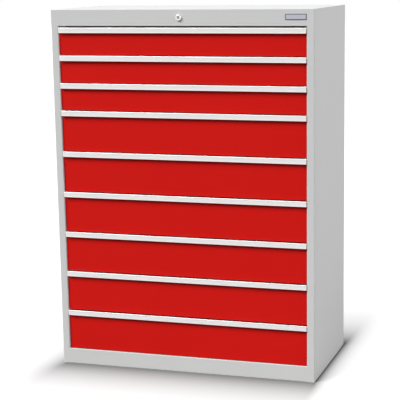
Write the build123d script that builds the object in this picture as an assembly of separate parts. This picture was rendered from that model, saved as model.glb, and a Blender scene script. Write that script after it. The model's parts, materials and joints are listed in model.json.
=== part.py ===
from build123d import *
import math
import os

# Multi-drawer steel cabinet, in millimetres. X runs across the front, to the right as seen by
# someone standing before it, Y runs from the front to the back, and Z is up. The origin is the
# middle of the footprint, on the floor.

# Housing
cabinet_width = 975
cabinet_depth = 500
cabinet_height = 1320
housing_sheet = 1.5
bend_radius = 3
post_width = 27.5
post_return = 29
rear_flange = 15
foot_flange = 20
fascia_height = 58
fascia_return = 25
lip_height = 18
back_sheet = 1.2
back_panel_play = 2
base_rear_inset = 10
sheet_edge_radius = 1.2
wall_gap = 5
cut_margin = 1

# Drawer stack, from the top down
drawer_pitches = [100] * 3 + [150] * 6
top_gap = 6
drawer_gap = 2.5

# Drawer front and its handle strip
side_gap = 1
front_recess = 6
front_depth = 20
front_sheet = 1.2
front_edge_radius = 1
front_side_lip = 22
front_flat_lip = 15
strip_height = 19
strip_projection = 3
strip_wall = 1.8
strip_lip = 3
strip_flange_drop = 2.5
label_recess = 0.8
strip_edge_radius = 0.7

# Drawer tray
tray_half_width = 444
tray_depth = 430
tray_sheet = 1.2
tray_lift = 3
tray_rim = 8
small_tray_height = 82
large_tray_height = 122
small_pitch = 100

# Telescopic slides: an outer, a middle and an inner channel, nested
rail_sheet = 1.5
rail_bend = 2
rail_height_above_tray = 26
outer_channel = (445.5, 457.5, 22.5)
middle_channel = (446.5, 452, 19)
inner_channel = (444, 449.5, 15)
rail_front_gap = 2
rail_rear_gap = 8

# Uprights that carry the slides
upright_sheet = 2
upright_width = 40
upright_top_gap = 19.5

# Screws that hold the outer channels to the uprights
screw_radius = 2.5
screw_hole_radius = 2.6
screw_head_radius = 4.5
screw_head_height = 2.2
screw_length = 9

# Lock
lock_height = 1292
lock_flange_radius = 10.75
lock_flange_height = 5
lock_barrel_radius = 9
lock_barrel_length = 22
lock_hole_radius = 9.1
lock_flange_edge_radius = 1.5
plug_radius = 5.55
plug_bore_radius = 5.6
plug_recess = 0.8
keyway_width = 2.2
keyway_height = 8
keyway_depth = 12
plug_edge = 0.4
cam_gap = 2
nut_across_flats = 24
nut_thickness = 5
nut_bore_radius = 9.05

# Linkage from the lock to the locking bar
cam_plate = 2.5
cam_reach = 14
cam_hub_radius = 8
cam_pin_radius = 3
cam_slot_play = 0.6
link_gap = 0.5
rod_plate = 2.5
rod_height = 20
rod_end_margin = 6
bar_plate = 3
bar_left = -481
bar_strip_width = 18
bar_slot_play = 0.35
bar_slot_margin = 4
bar_slot_low_x = -472
hook_reach = 14
hook_offset = 50
hook_height = 14
catch_offset = 66
catch_height = 12
catch_reach = 10.5
catch_depth = 2.5
catch_play = 1.5
bar_bottom_margin = 18
guide_width = 20
guide_place = -230
guide_wall = 2
bar_rear_gap = 1

# Name plate
plate_width = 75
plate_height = 20
plate_right = 459.5
plate_middle_height = 1293.5
plate_thickness = 1.5
plate_rim = 2.2
plate_field_depth = 0.6
plate_corner_radius = 1

# Places worked out from the sizes above
half_width = cabinet_width / 2
front_y = -cabinet_depth / 2
back_y = cabinet_depth / 2
half_opening = half_width - post_width
wall_inside = half_width - housing_sheet
top_underside = cabinet_height - housing_sheet
opening_top = cabinet_height - fascia_height
base_height = opening_top - top_gap - sum(drawer_pitches)
half_front = half_opening - side_gap
strip_y = front_y - strip_projection
front_face_y = front_y + front_recess
tray_front_y = front_face_y + front_depth
tray_rear_y = tray_front_y + tray_depth
post_rear_y = front_y + post_return
back_panel_y = back_y - housing_sheet - back_sheet

cam_swing = cam_reach * math.sin(math.radians(45))
link_travel = 2 * cam_swing
pin_height = lock_height - (cam_reach + cam_swing) / 2
barrel_rear_y = front_y + lock_barrel_length
cam_front_y = barrel_rear_y + cam_gap
cam_rear_y = cam_front_y + cam_plate
rod_front_y = cam_rear_y + link_gap
rod_rear_y = rod_front_y + rod_plate
bar_front_y = rod_rear_y + link_gap
bar_rear_y = bar_front_y + bar_plate
rail_front_y = bar_rear_y + bar_rear_gap
rail_rear_y = tray_rear_y + rail_rear_gap
rod_pin_x = bar_slot_low_x + link_travel

os.makedirs("parts", exist_ok=True)


def block(x_low, x_high, y_low, y_high, z_low, z_high):
    """A rectangular solid between two opposite corners."""
    centre = Pos((x_low + x_high) / 2, (y_low + y_high) / 2, (z_low + z_high) / 2)
    return centre * Box(x_high - x_low, y_high - y_low, z_high - z_low)


def rod_along_y(x, z, radius, y_low, y_high):
    """A round solid whose axis runs from the front to the back."""
    return Pos(x, (y_low + y_high) / 2, z) * Rot(90, 0, 0) * Cylinder(radius, y_high - y_low)


def folded_section(points, sheet, radius):
    """The cut face of a folded sheet, whose outer side follows the points and whose
    thickness lies to the right of the way they run."""
    outer = FilletPolyline(*points, radius=radius)
    return make_face(offset(outer, amount=sheet, side=Side.RIGHT).edges())


def folded_upright(points, sheet, radius, z_low, z_high):
    """A folded sheet with the same section all the way up."""
    return Pos(0, 0, z_low) * extrude(folded_section(points, sheet, radius), z_high - z_low)


def folded_runner(points, sheet, radius, y_low, y_high):
    """A folded sheet with the same section, given in X and Z, from front to back."""
    section = folded_section(points, sheet, radius)
    return Pos(0, y_high, 0) * extrude(Plane.XZ * section, y_high - y_low, dir=(0, -1, 0))


def both_sides(right_solid):
    """The right-hand solid and its mirror image on the left."""
    return [right_solid, mirror(right_solid, about=Plane.YZ)]


def save(name, *solids):
    """Writes one named sub-part."""
    shape = solids[0] if len(solids) == 1 else Compound(children=list(solids))
    shape.label = name
    export_step(shape, f"parts/{name}.step")


def side_panel():
    """Right-hand side wall with its front post, rear flange and foot flange in one sheet."""
    path = [
        (half_width - rear_flange, back_y),
        (half_width, back_y),
        (half_width, front_y),
        (half_opening, front_y),
        (half_opening, post_rear_y),
    ]
    wall = folded_upright(path, housing_sheet, bend_radius, 0, top_underside)
    foot = block(
        wall_inside - foot_flange,
        wall_inside,
        post_rear_y,
        back_panel_y - wall_gap,
        0,
        housing_sheet,
    )
    return wall + foot


def left_side_panel():
    """Mirror image of the right-hand wall, with a notch that guides the push rod."""
    notch = block(
        -half_opening - 2 * housing_sheet,
        -half_opening + housing_sheet,
        rod_front_y - link_gap,
        post_rear_y + cut_margin,
        pin_height - rod_height / 2 - link_gap,
        pin_height + rod_height / 2 + link_gap,
    )
    return mirror(side_panel(), about=Plane.YZ) - notch


def top_panel():
    """Top sheet with the fascia folded down at the front and lips inside the other walls."""
    sheet = block(-half_width, half_width, front_y, back_y, top_underside, cabinet_height)
    sheet = fillet(sheet.edges().filter_by(Axis.Z), bend_radius)
    sheet = fillet(sheet.faces().sort_by(Axis.Z)[-1].outer_wire().edges(), sheet_edge_radius)
    fascia = block(
        -half_opening, half_opening, front_y, front_y + housing_sheet, opening_top, top_underside
    )
    fascia += block(
        -half_opening,
        half_opening,
        front_y,
        front_y + fascia_return,
        opening_top,
        opening_top + housing_sheet,
    )
    low_edge = fascia.edges().filter_by(Axis.X).group_by(Axis.Z)[0].sort_by(Axis.Y)[0]
    fascia = fillet(low_edge, sheet_edge_radius)
    lip_low = top_underside - lip_height
    side_lip = block(
        wall_inside - housing_sheet,
        wall_inside,
        rail_front_y,
        back_panel_y - wall_gap,
        lip_low,
        top_underside,
    )
    rear_lip = block(
        -half_opening,
        half_opening,
        back_panel_y - housing_sheet,
        back_panel_y,
        lip_low,
        top_underside,
    )
    lock_hole = rod_along_y(
        0, lock_height, lock_hole_radius, front_y - cut_margin, front_y + 2 * housing_sheet
    )
    panel = sheet + fascia + rear_lip + rod_guide() - lock_hole
    for lip in both_sides(side_lip):
        panel += lip
    return panel


def rod_guide():
    """Staple behind the fascia that holds the push rod upright."""
    floor_top = pin_height - rod_height / 2 - link_gap
    x_low, x_high = guide_place - guide_width / 2, guide_place + guide_width / 2
    wall_top = floor_top + rod_height + 2 * link_gap + guide_wall
    front_wall_y = rod_front_y - link_gap
    rear_wall_y = rod_rear_y + link_gap
    staple = block(
        x_low, x_high, front_wall_y - guide_wall, rear_wall_y + guide_wall, opening_top, wall_top
    )
    channel = block(x_low, x_high, front_wall_y, rear_wall_y, floor_top, wall_top)
    return staple - channel


def base_panel():
    """Floor sheet with the plinth folded down at the front and a rear fold."""
    top_low = base_height - housing_sheet
    floor_sheet = block(
        -wall_inside, wall_inside, post_rear_y, back_panel_y, top_low, base_height
    )
    front_strip = block(
        -half_opening, half_opening, front_y, post_rear_y, top_low, base_height
    )
    plinth = block(
        -half_opening, half_opening, front_y, front_y + housing_sheet, 0, base_height
    )
    plinth_foot = block(
        -half_opening, half_opening, front_y, front_y + fascia_return, 0, housing_sheet
    )
    half_rear = wall_inside - foot_flange - base_rear_inset
    rear_fold = block(
        -half_rear, half_rear, back_panel_y - housing_sheet, back_panel_y, 0, base_height
    )
    rear_foot = block(
        -half_rear, half_rear, back_panel_y - fascia_return, back_panel_y, 0, housing_sheet
    )
    panel = floor_sheet + front_strip + plinth + plinth_foot + rear_fold + rear_foot
    front_edges = panel.edges().filter_by(Axis.X).group_by(Axis.Y)[0]
    return fillet(front_edges, sheet_edge_radius)


def back_panel():
    """Flat sheet behind the drawers, held between the side walls' rear flanges."""
    return block(
        -wall_inside + back_panel_play,
        wall_inside - back_panel_play,
        back_panel_y,
        back_panel_y + back_sheet,
        housing_sheet,
        top_underside,
    )


def screw_places():
    """Height and depth of each screw, two for each outer channel."""
    half = upright_width / 2
    depths = [rail_front_y + half, rail_rear_y - half]
    return [(drawer["rail_z"], y) for drawer in drawers for y in depths]


def bore_screw_holes(solid):
    """Cuts the screw holes of the right-hand side."""
    web_x = outer_channel[1]
    for z, y in screw_places():
        hole = Pos(web_x, y, z) * Rot(0, 90, 0) * Cylinder(screw_hole_radius, 3 * upright_sheet)
        solid -= hole
    return solid


def slide_uprights():
    """Four U-shaped uprights inside the side walls, two on each side."""
    web_x = outer_channel[1]
    solids = []
    for y_low in (rail_front_y, rail_rear_y - upright_width):
        path = [
            (wall_inside, y_low + upright_width),
            (web_x, y_low + upright_width),
            (web_x, y_low),
            (wall_inside, y_low),
        ]
        path.reverse()
        upright = folded_upright(
            path, upright_sheet, bend_radius, base_height, top_underside - upright_top_gap
        )
        solids += both_sides(bore_screw_holes(upright))
    return solids


def outer_rail(rail_z):
    """Right-hand outer channel of one slide, open towards the drawer."""
    tip_x, web_x, half = outer_channel
    path = [
        (tip_x, rail_z + half),
        (web_x, rail_z + half),
        (web_x, rail_z - half),
        (tip_x, rail_z - half),
    ]
    rail = folded_runner(path, rail_sheet, rail_bend, rail_front_y, rail_rear_y)
    for z, y in screw_places():
        if z == rail_z:
            rail -= Pos(web_x, y, z) * Rot(0, 90, 0) * Cylinder(screw_hole_radius, 3 * rail_sheet)
    return rail


def middle_rail(rail_z):
    """Right-hand middle channel of one slide."""
    tip_x, web_x, half = middle_channel
    path = [
        (tip_x, rail_z + half),
        (web_x, rail_z + half),
        (web_x, rail_z - half),
        (tip_x, rail_z - half),
    ]
    return folded_runner(
        path, rail_sheet, rail_bend, rail_front_y + rail_front_gap, tray_rear_y
    )


def inner_rail(rail_z):
    """Right-hand inner channel of one slide, with its web on the drawer's side."""
    web_x, tip_x, half = inner_channel
    path = [
        (tip_x, rail_z - half),
        (web_x, rail_z - half),
        (web_x, rail_z + half),
        (tip_x, rail_z + half),
    ]
    return folded_runner(
        path, rail_sheet, rail_bend, rail_front_y + rail_front_gap, tray_rear_y
    )


def rail_screw(z, y):
    """Flat-headed screw through the outer channel into an upright, on the right."""
    head_base = outer_channel[1] - rail_sheet
    head = Pos(head_base - screw_head_height / 2, y, z) * Rot(0, 90, 0)
    shank = Pos(head_base + screw_length / 2, y, z) * Rot(0, 90, 0)
    return head * Cylinder(screw_head_radius, screw_head_height) + shank * Cylinder(
        screw_radius, screw_length
    )


def tray(drawer):
    """Sheets of the open tray, welded along their edges, and the catch for the locking bar."""
    low = drawer["tray_z"]
    top = low + drawer["tray_height"]
    side_x = tray_half_width - tray_sheet
    front_y_inside = tray_front_y + tray_sheet
    rear_y_inside = tray_rear_y - tray_sheet
    rim_x, rim_y = tray_half_width - tray_rim, tray_rear_y - tray_rim
    rim_z = top - tray_sheet
    floor_sheet = block(-side_x, side_x, front_y_inside, rear_y_inside, low, low + tray_sheet)
    front_wall = block(-side_x, side_x, tray_front_y, front_y_inside, low, top)
    side_wall = block(side_x, tray_half_width, tray_front_y, tray_rear_y, low, top)
    side_wall += block(rim_x, side_x, front_y_inside, rear_y_inside, rim_z, top)
    rear_wall = block(-side_x, side_x, rear_y_inside, tray_rear_y, low, top)
    rear_wall += block(-rim_x, rim_x, rim_y, rear_y_inside, rim_z, top)
    catch_y = bar_rear_y + catch_play
    catch = block(
        -tray_half_width - catch_reach,
        -tray_half_width,
        catch_y,
        catch_y + catch_depth,
        low + catch_offset,
        low + catch_offset + catch_height,
    )
    return [floor_sheet, front_wall, rear_wall, *both_sides(side_wall), catch]


def front_panel(drawer):
    """Drawer front folded as a shallow pan, with lips behind it that the tray is fixed to."""
    low, top = drawer["front_z"], drawer["strip_z"] - strip_flange_drop - strip_wall
    pan = block(-half_front, half_front, front_face_y, tray_front_y, low, top)
    pan = fillet(pan.faces().sort_by(Axis.Y)[0].edges(), front_edge_radius)
    pan -= block(
        -half_front + front_sheet,
        half_front - front_sheet,
        front_face_y + front_sheet,
        tray_front_y - front_sheet,
        low + front_sheet,
        top - front_sheet,
    )
    pan -= block(
        -half_front + front_side_lip,
        half_front - front_side_lip,
        tray_front_y - 2 * front_sheet,
        tray_front_y,
        low + front_flat_lip,
        top - front_flat_lip,
    )
    return pan


def handle_strip(drawer):
    """Extruded strip over the top of the drawer front: a flat flange, and a lip that hangs before
    the front and rises a little above the flange, with a shallow label channel in its face and
    room for fingers behind it. The lip stands a little before the posts, and the strip is as wide
    as its front."""
    top = drawer["strip_z"]
    low = top - strip_height
    inside_y = strip_y + label_recess + strip_wall
    flange_top = top - strip_flange_drop
    outline = [
        (tray_front_y, flange_top),
        (inside_y, flange_top),
        (inside_y, top),
        (strip_y, top),
        (strip_y, top - strip_lip),
        (strip_y + label_recess, top - strip_lip),
        (strip_y + label_recess, low + strip_lip),
        (strip_y, low + strip_lip),
        (strip_y, low),
        (inside_y, low),
        (inside_y, flange_top - strip_wall),
        (tray_front_y, flange_top - strip_wall),
    ]
    section = make_face(Polyline(*outline, close=True))
    rounded = [outline[2], outline[3], outline[8], outline[9]]
    corners = [
        vertex
        for vertex in section.vertices()
        if any(abs(vertex.X - y) + abs(vertex.Y - z) < 1e-6 for y, z in rounded)
    ]
    section = fillet(corners, strip_edge_radius)
    return Pos(-half_front, 0, 0) * extrude(Plane.YZ * section, 2 * half_front)


def lock_housing():
    """Fixed barrel of the lock with its round flange before the fascia."""
    flange_y = front_y - lock_flange_height
    flange = rod_along_y(0, lock_height, lock_flange_radius, flange_y, front_y)
    flange = fillet(flange.edges().group_by(Axis.Y)[0], lock_flange_edge_radius)
    barrel = rod_along_y(0, lock_height, lock_barrel_radius, front_y, barrel_rear_y)
    bore = rod_along_y(
        0, lock_height, plug_bore_radius, flange_y - cut_margin, barrel_rear_y + cut_margin
    )
    return flange + barrel - bore


def lock_nut():
    """Six-sided nut that clamps the lock to the fascia from behind."""
    section = RegularPolygon(nut_across_flats / 2, 6, major_radius=False) - Circle(nut_bore_radius)
    nut_y = front_y + housing_sheet
    return Pos(0, nut_y + nut_thickness, lock_height) * extrude(
        Plane.XZ * section, nut_thickness, dir=(0, -1, 0)
    )


def lock_plug():
    """Turning plug with its keyway, upright when the cabinet is unlocked."""
    plug_y = front_y - lock_flange_height + plug_recess
    plug = rod_along_y(0, lock_height, plug_radius, plug_y, cam_front_y)
    plug = chamfer(plug.edges().group_by(Axis.Y)[0], plug_edge)
    keyway = block(
        -keyway_width / 2,
        keyway_width / 2,
        plug_y - cut_margin,
        plug_y + keyway_depth,
        lock_height - keyway_height / 2,
        lock_height + keyway_height / 2,
    )
    return plug - keyway


def lock_cam():
    """Cam on the plug's rear end, with the pin that drives the push rod."""
    hub = rod_along_y(0, lock_height, cam_hub_radius, cam_front_y, cam_rear_y)
    arm_plate = block(
        0, cam_reach, cam_front_y, cam_rear_y, -cam_hub_radius / 2, cam_hub_radius / 2
    )
    arm = Pos(0, 0, lock_height) * Rot(0, 45, 0) * arm_plate
    pin_x, pin_z = cam_swing, lock_height - cam_swing
    eye = rod_along_y(pin_x, pin_z, cam_hub_radius / 2, cam_front_y, cam_rear_y)
    pin = rod_along_y(pin_x, pin_z, cam_pin_radius, cam_rear_y, rod_rear_y)
    return hub + arm + eye + pin


def push_rod():
    """Flat rod that carries the cam's movement to the locking bar."""
    left = rod_pin_x - cam_pin_radius - rod_end_margin
    right = cam_swing + cam_pin_radius + cam_slot_play + rod_end_margin
    low, high = pin_height - rod_height / 2, pin_height + rod_height / 2
    plate = block(left, right, rod_front_y, rod_rear_y, low, high)
    slot_reach = cam_pin_radius + cam_slot_play
    slot = block(
        cam_swing - slot_reach,
        cam_swing + slot_reach,
        rod_front_y - cut_margin,
        rod_rear_y + cut_margin,
        lock_height - cam_reach - slot_reach,
        lock_height - cam_swing + slot_reach,
    )
    pin = rod_along_y(rod_pin_x, pin_height, cam_pin_radius, rod_rear_y, bar_rear_y + link_gap)
    return plate - slot + pin


def locking_bar():
    """Upright strip, a head plate with a slanting slot for the rod's pin, and the hooks."""
    slot_reach = cam_pin_radius + bar_slot_play
    reach = slot_reach + bar_slot_margin
    head_low = pin_height - link_travel - reach
    head_right = rod_pin_x + reach
    head = block(bar_left, head_right, bar_front_y, bar_rear_y, head_low, pin_height + reach)
    strip_low = drawers[-1]["tray_z"] + hook_offset - bar_bottom_margin
    strip_right = bar_left + bar_strip_width
    strip = block(bar_left, strip_right, bar_front_y, bar_rear_y, strip_low, head_low)
    slot_middle = Pos(
        rod_pin_x - link_travel / 2, (bar_front_y + bar_rear_y) / 2, pin_height - link_travel / 2
    )
    slot_section = SlotCenterToCenter(link_travel * math.sqrt(2), 2 * slot_reach)
    slot = slot_middle * Rot(0, -45, 0) * extrude(
        Plane.XZ * slot_section, 2 * bar_plate, dir=(0, 1, 0), both=True
    )
    hooks = []
    for drawer in drawers:
        low = drawer["tray_z"] + hook_offset
        hooks.append(
            block(
                strip_right, strip_right + hook_reach, bar_front_y, bar_rear_y, low, low + hook_height
            )
        )
    return [strip, head - slot, *hooks]


def name_plate():
    """Bare plate with a raised rim."""
    left = plate_right - plate_width
    low = plate_middle_height - plate_height / 2
    high = plate_middle_height + plate_height / 2
    face_y = front_y - plate_thickness
    plate = block(left, plate_right, face_y, front_y, low, high)
    plate = fillet(plate.edges().filter_by(Axis.Y), plate_corner_radius)
    field = block(
        left + plate_rim,
        plate_right - plate_rim,
        face_y,
        face_y + plate_field_depth,
        low + plate_rim,
        high - plate_rim,
    )
    return plate - field


def drawer_places():
    """The heights that belong to each drawer, from the top one down."""
    places = []
    strip_z = opening_top - top_gap
    for pitch in drawer_pitches:
        front_z = strip_z - pitch + drawer_gap
        tray_z = front_z + tray_lift
        places.append(
            {
                "strip_z": strip_z,
                "front_z": front_z,
                "tray_z": tray_z,
                "tray_height": small_tray_height if pitch == small_pitch else large_tray_height,
                "rail_z": tray_z + rail_height_above_tray,
            }
        )
        strip_z -= pitch
    return places


drawers = drawer_places()

save("side_panel_right", side_panel())
save("side_panel_left", left_side_panel())
save("top_panel", top_panel())
save("base_panel", base_panel())
save("back_panel", back_panel())
save("name_plate", name_plate())
save("slide_uprights", *slide_uprights())

save("lock_housing", lock_housing())
save("lock_nut", lock_nut())
save("lock_plug", lock_plug())
save("lock_cam", lock_cam())
save("push_rod", push_rod())
save("locking_bar", *locking_bar())

outer_rails, screws = [], []
for number, drawer in enumerate(drawers, start=1):
    outer_rails += both_sides(outer_rail(drawer["rail_z"]))
    save(f"drawer_{number}_tray", *tray(drawer))
    save(f"drawer_{number}_front", front_panel(drawer))
    save(f"drawer_{number}_handle", handle_strip(drawer))
    save(f"drawer_{number}_rails", *both_sides(inner_rail(drawer["rail_z"])))
    save(f"slide_{number}_middle", *both_sides(middle_rail(drawer["rail_z"])))
for z, y in screw_places():
    screws += both_sides(rail_screw(z, y))
save("cabinet_rails", *outer_rails)
save("rail_screws", *screws)
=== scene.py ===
import json
import math

import bmesh
import bpy
from mathutils import Matrix, Vector


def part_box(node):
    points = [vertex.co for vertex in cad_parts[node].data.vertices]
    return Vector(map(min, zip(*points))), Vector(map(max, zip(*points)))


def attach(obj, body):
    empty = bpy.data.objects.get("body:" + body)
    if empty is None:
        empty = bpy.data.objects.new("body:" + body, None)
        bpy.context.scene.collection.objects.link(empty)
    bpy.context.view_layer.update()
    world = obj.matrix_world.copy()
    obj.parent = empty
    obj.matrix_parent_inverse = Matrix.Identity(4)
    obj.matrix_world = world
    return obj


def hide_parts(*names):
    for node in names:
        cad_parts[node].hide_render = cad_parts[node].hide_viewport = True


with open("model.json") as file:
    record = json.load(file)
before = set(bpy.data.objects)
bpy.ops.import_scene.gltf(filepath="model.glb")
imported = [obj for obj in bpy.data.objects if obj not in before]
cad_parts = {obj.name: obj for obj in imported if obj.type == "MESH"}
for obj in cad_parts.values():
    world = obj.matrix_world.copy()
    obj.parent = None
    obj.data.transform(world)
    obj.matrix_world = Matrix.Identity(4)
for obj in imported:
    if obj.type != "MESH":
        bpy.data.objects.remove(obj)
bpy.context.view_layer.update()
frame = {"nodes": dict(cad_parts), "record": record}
nodes = frame["nodes"]
drawerNumbers = range(1, 10)
mm = 0.001
noiseSpan = (0.3, 0.7)  # nearly all of a noise texture lies between these
samePoint = 0.001 * mm  # points nearer than this become one
roundMiddle = 0.3  # where a rounded edge has its middle point, as a share of its radius
print("frame loaded:", len(nodes), "CAD nodes")


# A wire is one output of a shader node, so shader maths reads as plain sums

class Wire:
    def __init__(self, shader, socket):
        self.shader, self.socket = shader, socket

    def combine(self, operation, left, right):
        kinds = {part.socket.type for part in (left, right) if isinstance(part, Wire)}
        if "RGBA" in kinds:
            return self.shader.blend(1.0, left, right, operation)
        if "VECTOR" in kinds:
            pair = [part if isinstance(part, Wire) else (part,) * 3 for part in (left, right)]
            return self.shader.node("ShaderNodeVectorMath", {"operation": operation}, dict(enumerate(pair)))
        return self.shader.node("ShaderNodeMath", {"operation": operation}, {0: left, 1: right})

    def __add__(self, other):
        return self.combine("ADD", self, other)

    def __radd__(self, other):
        return self.combine("ADD", other, self)

    def __sub__(self, other):
        return self.combine("SUBTRACT", self, other)

    def __rsub__(self, other):
        return self.combine("SUBTRACT", other, self)

    def __mul__(self, other):
        return self.combine("MULTIPLY", self, other)

    def __rmul__(self, other):
        return self.combine("MULTIPLY", other, self)


class Shader:
    def __init__(self, tree, end=None):
        self.tree, self.end = tree, end

    def node(self, kind, settings=None, sockets=None, output=0):
        made = self.tree.nodes.new(kind)
        for key, value in (settings or {}).items():
            setattr(made, key, value)
        self.feed(made, sockets or {})
        return Wire(self, made.outputs[output])

    def feed(self, made, sockets):
        for key, value in sockets.items():
            socket = made.inputs[key]
            if isinstance(value, Wire):
                self.tree.links.new(value.socket, socket)
            else:
                socket.default_value = value

    def place(self, stretch=(1, 1, 1)):
        # the shaded point on the object in metres, stretched along the axes
        spot = self.node("ShaderNodeTexCoord", output="Object")
        return self.node("ShaderNodeMapping", None, {"Vector": spot, "Scale": stretch})

    def noise(self, place, size, detail=2.0, roughness=0.5):
        sockets = {"Vector": place, "Scale": 1 / size, "Detail": detail, "Roughness": roughness}
        return self.node("ShaderNodeTexNoise", None, sockets)

    def spread(self, value, low, high, toLow=0.0, toHigh=1.0):
        sockets = {"Value": value, "From Min": low, "From Max": high, "To Min": toLow, "To Max": toHigh}
        return self.node("ShaderNodeMapRange", {"clamp": True}, sockets)

    def blend(self, share, first, second, kind="MIX"):
        settings = {"data_type": "RGBA", "blend_type": kind}
        return self.node("ShaderNodeMix", settings, {0: share, 6: first, 7: second}, output=2)

    def bump(self, height, strength, distance):
        sockets = {"Height": height, "Strength": strength, "Distance": distance}
        return self.node("ShaderNodeBump", None, sockets)


def newMaterial(name):
    material = bpy.data.materials.new(name)
    material.use_nodes = True
    tree = material.node_tree
    return material, Shader(tree, tree.nodes["Principled BSDF"])


def linear(channel):
    # one screen value from 0 to 1, as light
    return channel / 12.92 if channel <= 0.04045 else ((channel + 0.055) / 1.055) ** 2.4


def colour(red, green, blue):
    # a colour given in screen values from 0 to 255
    return tuple(linear(channel / 255) for channel in (red, green, blue)) + (1.0,)


def tinted(base, factor):
    return tuple(min(1.0, channel * factor) for channel in base[:3]) + (1.0,)


def mixed(first, second, share):
    # two patterns in one, the first with the given share
    return first * share + second * (1 - share)


# Powder coat: fine orange peel, faint cloudiness and uneven sheen

powderCoat = {
    "peelSize": 2.2 * mm,
    "peelHeight": 0.05 * mm,
    "peelStrength": 0.5,
    "peelShare": 0.85,  # the rest of the relief is grain
    "grainSize": 0.35 * mm,
    "cloudSize": 0.28,
    "cloudShare": 0.8,  # the rest of the colour change is grain
    "cloudChange": 0.02,
    "sheenShare": 0.6,  # the rest of the uneven sheen is cloud
    "sheenSpan": (0.35, 0.65),
    "roughness": (0.44, 0.56),
    "gloss": 0.09,
}


def paintMaterial(name, base, **changes):
    look = {**powderCoat, **changes}
    material, shader = newMaterial(name)
    spot = shader.place()
    cloud = shader.noise(spot, look["cloudSize"], detail=3.0)
    peel = shader.noise(spot, look["peelSize"], detail=1.0)
    grain = shader.noise(spot, look["grainSize"], detail=0.0)
    share = shader.spread(mixed(cloud, grain, look["cloudShare"]), *noiseSpan)
    change = look["cloudChange"]
    paint = shader.blend(share, tinted(base, 1 - change), tinted(base, 1 + change))
    uneven = mixed(peel, cloud, look["sheenShare"])
    sheen = shader.spread(uneven, *look["sheenSpan"], *look["roughness"])
    relief = shader.bump(mixed(peel, grain, look["peelShare"]), look["peelStrength"], look["peelHeight"])
    shader.feed(shader.end, {
        "Base Color": paint,
        "Roughness": sheen,
        "Specular IOR Level": look["gloss"],
        "Normal": relief,
    })
    return material


# Satin anodised aluminium: fine lines drawn along the strip

stripFinish = {
    "tone": colour(224, 222, 220),
    "toneChange": (0.96, 1.03),
    "lineStretch": 1.5 * mm,
    "lineSize": 0.16 * mm,
    "lineHeight": 0.006 * mm,
    "lineStrength": 0.4,
    "lineShare": 0.7,  # the rest of the colour change is cloud
    "cloudSize": 0.11,
    "roughness": (0.34, 0.46),
}


def stripMaterial(name):
    look = stripFinish
    material, shader = newMaterial(name)
    stretched = shader.place((look["lineStretch"], 1, 1))
    lines = shader.noise(stretched, look["lineSize"], roughness=0.7)
    cloud = shader.noise(shader.place(), look["cloudSize"])
    share = shader.spread(mixed(lines, cloud, look["lineShare"]), *noiseSpan)
    dark, pale = (tinted(look["tone"], change) for change in look["toneChange"])
    metal = shader.blend(share, dark, pale)
    shader.feed(shader.end, {
        "Base Color": metal,
        "Metallic": 1.0,
        "Roughness": shader.spread(lines, *noiseSpan, *look["roughness"]),
        "Normal": shader.bump(lines, look["lineStrength"], look["lineHeight"]),
    })
    return material


# Zinc plate of the slides, screws and linkage: faint spangle and rubbed streaks

zincFinish = {
    "tone": colour(190, 193, 197),
    "toneChange": (0.86, 1.08),
    "span": (0.2, 0.8),
    "spangleSize": 9 * mm,
    "spangleShare": 0.5,  # the rest of the colour change is scuffs
    "scuffSize": 0.9 * mm,
    "scuffStretch": 0.08,
    "scuffHeight": 0.02 * mm,
    "scuffStrength": 0.25,
    "scuffShare": 0.7,  # the rest of the uneven sheen is spangle
    "roughness": (0.3, 0.5),
}


def zincMaterial(name, **changes):
    look = {**zincFinish, **changes}
    material, shader = newMaterial(name)
    cells = {"Vector": shader.place(), "Scale": 1 / look["spangleSize"], "Randomness": 1.0}
    spangle = shader.node("ShaderNodeTexVoronoi", {"feature": "F1"}, cells, output="Color")
    facet = shader.node("ShaderNodeSeparateColor", None, {"Color": spangle})
    stretched = shader.place((1, look["scuffStretch"], 1))
    scuff = shader.noise(stretched, look["scuffSize"], detail=3.0, roughness=0.6)
    share = shader.spread(mixed(facet, scuff, look["spangleShare"]), *look["span"])
    dark, pale = (tinted(look["tone"], change) for change in look["toneChange"])
    metal = shader.blend(share, dark, pale)
    uneven = mixed(scuff, facet, look["scuffShare"])
    shader.feed(shader.end, {
        "Base Color": metal,
        "Metallic": 1.0,
        "Roughness": shader.spread(uneven, *look["span"], *look["roughness"]),
        "Normal": shader.bump(scuff, look["scuffStrength"], look["scuffHeight"]),
    })
    return material


# Nickel of the lock, with fine polishing scratches

nickelFinish = {
    "tone": colour(228, 228, 226),
    "toneChange": (0.95, 1.03),
    "scratchSize": 0.25 * mm,
    "scratchStretch": 0.15,
    "scratchHeight": 0.01 * mm,
    "scratchStrength": 0.15,
    "sheenSpan": (0.35, 0.7),
    "roughness": (0.16, 0.28),
}


def nickelMaterial(name, **changes):
    look = {**nickelFinish, **changes}
    material, shader = newMaterial(name)
    stretched = shader.place((look["scratchStretch"], 1, 1))
    scratch = shader.noise(stretched, look["scratchSize"], roughness=0.7)
    dark, pale = (tinted(look["tone"], change) for change in look["toneChange"])
    metal = shader.blend(shader.spread(scratch, *noiseSpan), dark, pale)
    shader.feed(shader.end, {
        "Base Color": metal,
        "Metallic": 1.0,
        "Roughness": shader.spread(scratch, *look["sheenSpan"], *look["roughness"]),
        "Normal": shader.bump(scratch, look["scratchStrength"], look["scratchHeight"]),
    })
    return material


# Moulded plastic and paper: a fine even grain

plasticFinish = {
    "grainSize": 0.5 * mm,
    "grainHeight": 0.02 * mm,
    "grainStrength": 0.3,
    "change": 0.03,
    "roughness": (0.4, 0.5),
    "gloss": 0.35,
    "coat": 0.0,
    "coatRoughness": 0.12,
}


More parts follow.
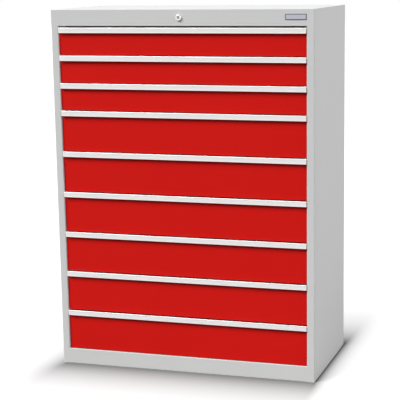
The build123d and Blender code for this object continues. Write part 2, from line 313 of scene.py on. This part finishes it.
def plasticMaterial(name, base, **changes):
    look = {**plasticFinish, **changes}
    material, shader = newMaterial(name)
    grain = shader.noise(shader.place(), look["grainSize"], roughness=0.6)
    share = shader.spread(grain, *noiseSpan)
    change = look["change"]
    skin = shader.blend(share, tinted(base, 1 - change), tinted(base, 1 + change))
    shader.feed(shader.end, {
        "Base Color": skin,
        "Roughness": shader.spread(grain, *noiseSpan, *look["roughness"]),
        "Specular IOR Level": look["gloss"],
        "Coat Weight": look["coat"],
        "Coat Roughness": look["coatRoughness"],
        "Normal": shader.bump(grain, look["grainStrength"], look["grainHeight"]),
    })
    return material


# One material for each slot of the record, and two for pieces that are made here

tones = {
    "housing": colour(200, 201, 200),
    "front": colour(198, 20, 15),
    "tray": colour(194, 195, 194),
    "screw": colour(172, 174, 178),
    "plug": colour(172, 170, 168),
    "plateField": colour(182, 183, 194),
    "plateRim": colour(96, 99, 104),
    "label": colour(226, 225, 225),
}
labelPaper = {"change": 0.012, "grainSize": 0.3 * mm, "roughness": (0.5, 0.6), "coat": 0.3}

materials = {
    "housing_paint": paintMaterial("housingPaint", tones["housing"]),
    "front_paint": paintMaterial("frontPaint", tones["front"], gloss=0.1),
    "tray_paint": paintMaterial("trayPaint", tones["tray"]),
    "strip_aluminium": stripMaterial("stripAluminium"),
    "zinc_plate": zincMaterial("zincPlate"),
    "screw_steel": zincMaterial("screwSteel", tone=tones["screw"]),
    "lock_chrome": nickelMaterial("lockNickel"),
    "lock_plug_metal": nickelMaterial("plugNickel", tone=tones["plug"], roughness=(0.3, 0.42)),
    "plate_metal": plasticMaterial("plateField", tones["plateField"]),
}
plateRimMaterial = plasticMaterial("plateRim", tones["plateRim"], gloss=0.3)
labelMaterial = plasticMaterial("labelPaper", tones["label"], **labelPaper)
for row in frame["record"]["subparts"]:
    piece = nodes[row["node"]]
    piece.data.materials.clear()
    piece.data.materials.append(materials[row["material_slot"]])
print("materials assigned to", len(nodes), "nodes")


# Mesh helpers: outlines stacked into rings, and rings joined into a skin

def outline(halfWidth, halfHeight, radius, steps=8):
    # a rounded rectangle round the origin, or a circle where all three are the same
    points = []
    for turn, (sideX, sideZ) in enumerate(((1, 1), (-1, 1), (-1, -1), (1, -1))):
        middle = (sideX * (halfWidth - radius), sideZ * (halfHeight - radius))
        for step in range(steps + 1):
            angle = math.radians(90 * (turn + step / steps))
            points.append((middle[0] + radius * math.cos(angle), middle[1] + radius * math.sin(angle)))
    return points


def loft(name, rings, material, closed=False):
    # each ring is a list of points; closed joins the last ring to the first
    skin = bmesh.new()
    loops = [[skin.verts.new(point) for point in ring] for ring in rings]
    count = len(loops[0])
    pairs = list(zip(loops, loops[1:])) + ([(loops[-1], loops[0])] if closed else [])
    for low, high in pairs:
        for spot in range(count):
            after = (spot + 1) % count
            skin.faces.new((low[spot], low[after], high[after], high[spot]))
    if not closed:
        skin.faces.new(list(reversed(loops[0])))
        skin.faces.new(loops[-1])
    bmesh.ops.remove_doubles(skin, verts=skin.verts, dist=samePoint)
    bmesh.ops.recalc_face_normals(skin, faces=skin.faces)
    mesh = bpy.data.meshes.new(name)
    skin.to_mesh(mesh)
    skin.free()
    mesh.materials.append(material)
    made = bpy.data.objects.new(name, mesh)
    bpy.context.scene.collection.objects.link(made)
    return made


def smoothFaces(made, angle=35):
    # round faces shade as one, sharp edges stay sharp
    for face in made.data.polygons:
        face.use_smooth = True
    made.data.set_sharp_from_angle(angle=math.radians(angle))


# Name plate: a dark frame round a bare field, set on the fascia

plate = {
    "middle": (422.0, 1293.5),
    "half": (37.5, 10.0),
    "frontY": -251.5,
    "backY": -250.0,
    "cornerRadius": 1.5,
    "leastRadius": 0.3,
    "rimWidth": 2.4,
    "rimRound": 0.35,
    "fieldDepth": 0.5,
    "fieldRound": 0.1,
    "fieldTuck": 0.02,  # how far the field runs under the rim
}


def plateRing(look, inset, y):
    halfWidth, halfHeight = look["half"][0] - inset, look["half"][1] - inset
    radius = max(look["cornerRadius"] - inset, look["leastRadius"])
    centreX, centreZ = look["middle"]
    return [
        ((centreX + x) * mm, y * mm, (centreZ + z) * mm)
        for x, z in outline(halfWidth, halfHeight, radius)
    ]


def buildPlate(look=plate):
    width, soft = look["rimWidth"], look["rimRound"]
    front, back = look["frontY"], look["backY"]
    middle = roundMiddle * soft
    profile = [
        (0.0, back), (0.0, front + soft), (middle, front + middle), (soft, front),
        (width - soft, front), (width - middle, front + middle), (width, front + soft),
        (width, back),
    ]
    rim = loft("plateFrame", [plateRing(look, inset, y) for inset, y in profile], plateRimMaterial, True)
    smoothFaces(rim)
    fieldFront = front + look["fieldDepth"]
    edge = width - look["fieldTuck"]
    soft = look["fieldRound"]
    profile = [(edge, back), (edge, fieldFront + soft), (edge + soft, fieldFront)]
    field = loft(
        "plateField", [plateRing(look, inset, y) for inset, y in profile], materials["plate_metal"]
    )
    for made in (rim, field):
        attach(made, "housing")
    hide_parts("name_plate")
    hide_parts("name_plate")


buildPlate()
print("name plate built")


# Label strips: plain paper under a clear cover, in the channel of each grip strip

label = {
    "halfLength": 456.5,
    "frontY": -252.65,
    "backY": -252.2,
    "fromTop": (3.15, 15.85),
    "cornerRadius": 0.6,
    "cornerSteps": 4,
    "edgeRound": 0.12,
}


def buildLabels(look=label):
    for number in drawerNumbers:
        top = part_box(f"drawer_{number}_handle")[1].z / mm
        high, low = top - look["fromTop"][0], top - look["fromTop"][1]
        middle, halfHeight = (high + low) / 2, (high - low) / 2
        soft = look["edgeRound"]
        rings = []
        for inset, y in ((0, look["backY"]), (0, look["frontY"] + soft), (soft, look["frontY"])):
            size = (look["halfLength"] - inset, halfHeight - inset)
            shape = outline(*size, look["cornerRadius"], look["cornerSteps"])
            rings.append([(x * mm, y * mm, (middle + z) * mm) for x, z in shape])
        made = loft(f"labelStrip{number}", rings, labelMaterial)
        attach(made, f"drawer_{number}")


buildLabels()
print("label strips built:", len(drawerNumbers))


# Ground welds: the fascia and the plinth run into the posts without a groove

weld = {
    "fromX": 459.6,
    "toX": 463.4,
    "frontY": -250.02,
    "backY": -247.6,
    "softEdge": 0.25,
    "spans": {"fascia": (1262.9, 1319.0), "plinth": (0.4, 55.4)},
}


def buildWelds(look=weld):
    soft = look["softEdge"]
    section = [
        (look["fromX"] + soft, look["frontY"]), (look["toX"] - soft, look["frontY"]),
        (look["toX"], look["frontY"] + soft), (look["fromX"] + 2 * soft, look["backY"]),
        (look["fromX"], look["backY"]), (look["fromX"], look["frontY"] + soft),
    ]
    for side, sign in (("left", -1), ("right", 1)):
        for place, heights in look["spans"].items():
            rings = [[(sign * x * mm, y * mm, z * mm) for x, y in section] for z in heights]
            made = loft(f"{place}Weld{side.capitalize()}", rings, materials["housing_paint"])
            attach(made, "housing")


buildWelds()
print("welds built")


# Studio: pale floor with a painted contact shadow round the cabinet, white surroundings for the camera,
# soft distant lights

studio = {
    "floorSize": 60.0,
    "floorTone": colour(118, 118, 118),
    "floorChange": 0.01,
    "floorCloud": 0.4,
    "floorRoughness": 0.9,
    "paintedShadow": {  # painted shadow on the floor: where it begins, in metres from the middle, and how far it reaches
        "right": (0.4905, 0.031),
        "left": (0.47, 0.075),
        "front": (0.264, 0.2),
        "back": (0.25, 0.2),
    },
    "ambient": 0.04,
    "keyLight": {"strength": 4.95, "from": (-0.478, -0.478, 0.737), "angle": 30.0},
    "fillLight": {"strength": 2.74, "from": (0.98, -0.04, 0.16), "angle": 50.0},
    "backLight": {"strength": 1.7, "from": (-0.68, 0.73, 0.07), "angle": 20.0},
}


def seenDirectly(shader):
    # 1 for rays from the camera and for reflections, 0 for light that bounces
    rays = [
        shader.node("ShaderNodeLightPath", output=f"Is {kind} Ray")
        for kind in ("Camera", "Glossy", "Transmission")
    ]
    return shader.spread(rays[0] + rays[1] + rays[2], 0.0, 1.0)


def addFloor(look=studio):
    half = look["floorSize"] / 2
    mesh = bpy.data.meshes.new("floor")
    corners = [(-half, -half, 0), (half, -half, 0), (half, half, 0), (-half, half, 0)]
    mesh.from_pydata(corners, [], [(0, 1, 2, 3)])
    floor = bpy.data.objects.new("floor", mesh)
    bpy.context.scene.collection.objects.link(floor)
    material, shader = newMaterial("floorPaper")
    spot = shader.place()
    across, along = (
        shader.node("ShaderNodeSeparateXYZ", None, {"Vector": spot}, output=axis) for axis in ("X", "Y")
    )
    total = 0.0
    ways = {"right": across, "left": across * -1.0, "front": along * -1.0, "back": along}
    for side, way in ways.items():
        edge, reach = look["paintedShadow"][side]
        beyond = {0: (way - edge) * (1 / reach), 1: 0.0}
        beyond = shader.node("ShaderNodeMath", {"operation": "MAXIMUM"}, beyond)
        total = total + beyond * beyond
    away = shader.node("ShaderNodeMath", {"operation": "SQRT"}, {0: total})
    # the floor glows for the camera and in reflections, but the glow is left off near the cabinet, so its
    # dark tone shows there as a painted contact shadow on top of the real shadows the lamps cast
    paintedShadow = shader.node("ShaderNodeMath", {"operation": "EXPONENT"}, {0: away * -1.0})
    paintedGlow = (1.0 - paintedShadow) * seenDirectly(shader)
    cloud = shader.noise(spot, look["floorCloud"], detail=3.0)
    tone, change = look["floorTone"], look["floorChange"]
    paper = shader.blend(cloud, tinted(tone, 1 - change), tinted(tone, 1 + change))
    shader.feed(shader.end, {
        "Base Color": paper,
        "Roughness": look["floorRoughness"],
        "Specular IOR Level": 0.0,
        "Emission Color": shader.blend(paintedGlow, (0, 0, 0, 1), (1, 1, 1, 1)),
        "Emission Strength": 1.0,
    })
    mesh.materials.append(material)


def addWorld(look=studio):
    world = bpy.data.worlds.new("studioWorld")
    world.use_nodes = True
    bpy.context.scene.world = world
    shader = Shader(world.node_tree, world.node_tree.nodes["World Output"])
    white = (1, 1, 1, 1)
    lit = shader.node("ShaderNodeBackground", None, {"Color": white, "Strength": look["ambient"]})
    seen = shader.node("ShaderNodeBackground", None, {"Color": white, "Strength": 1.0})
    both = shader.node("ShaderNodeMixShader", None, {0: seenDirectly(shader), 1: lit, 2: seen})
    shader.feed(shader.end, {"Surface": both})


def addSun(name, look):
    sun = bpy.data.lights.new(name, "SUN")
    sun.energy = look["strength"]
    sun.angle = math.radians(look["angle"])
    holder = bpy.data.objects.new(name, sun)
    bpy.context.scene.collection.objects.link(holder)
    holder.rotation_euler = Vector(look["from"]).to_track_quat("Z", "Y").to_euler()


addFloor()
addWorld()
for name in ("keyLight", "fillLight", "backLight"):
    addSun(name, studio[name])
bpy.context.scene.view_settings.view_transform = "Standard"
print("studio ready")


# Camera: to the right of the cabinet and a little above it

viewpoint = {
    "place": (1.5015, -4.5547, 1.4512),
    "yaw": 17.1615,
    "pitch": 11.0201,
    "roll": -0.7274,
    "focalPixels": 1287.92,
    "framePixels": 400,
    "sensorWidth": 36,
    "shift": (-0.0704, 0.053),
    "sightEnd": 100,
}


def addCamera(look=viewpoint):
    camera = bpy.data.cameras.new("camera")
    camera.sensor_width = look["sensorWidth"]
    camera.lens = look["focalPixels"] / look["framePixels"] * look["sensorWidth"]
    camera.shift_x, camera.shift_y = look["shift"]
    camera.clip_end = look["sightEnd"]
    holder = bpy.data.objects.new("camera", camera)
    bpy.context.scene.collection.objects.link(holder)
    yaw, pitch, roll = (math.radians(look[turn]) for turn in ("yaw", "pitch", "roll"))
    right = Vector((math.cos(yaw), math.sin(yaw), 0))
    ahead = Vector(
        (-math.sin(yaw) * math.cos(pitch), math.cos(yaw) * math.cos(pitch), -math.sin(pitch))
    )
    up = right.cross(ahead)
    side = right * math.cos(roll) + up * math.sin(roll)
    rise = up * math.cos(roll) - right * math.sin(roll)
    turned = Matrix((side, rise, -ahead)).transposed().to_4x4()
    holder.matrix_world = Matrix.Translation(look["place"]) @ turned
    bpy.context.scene.camera = holder


addCamera()
print("camera placed")
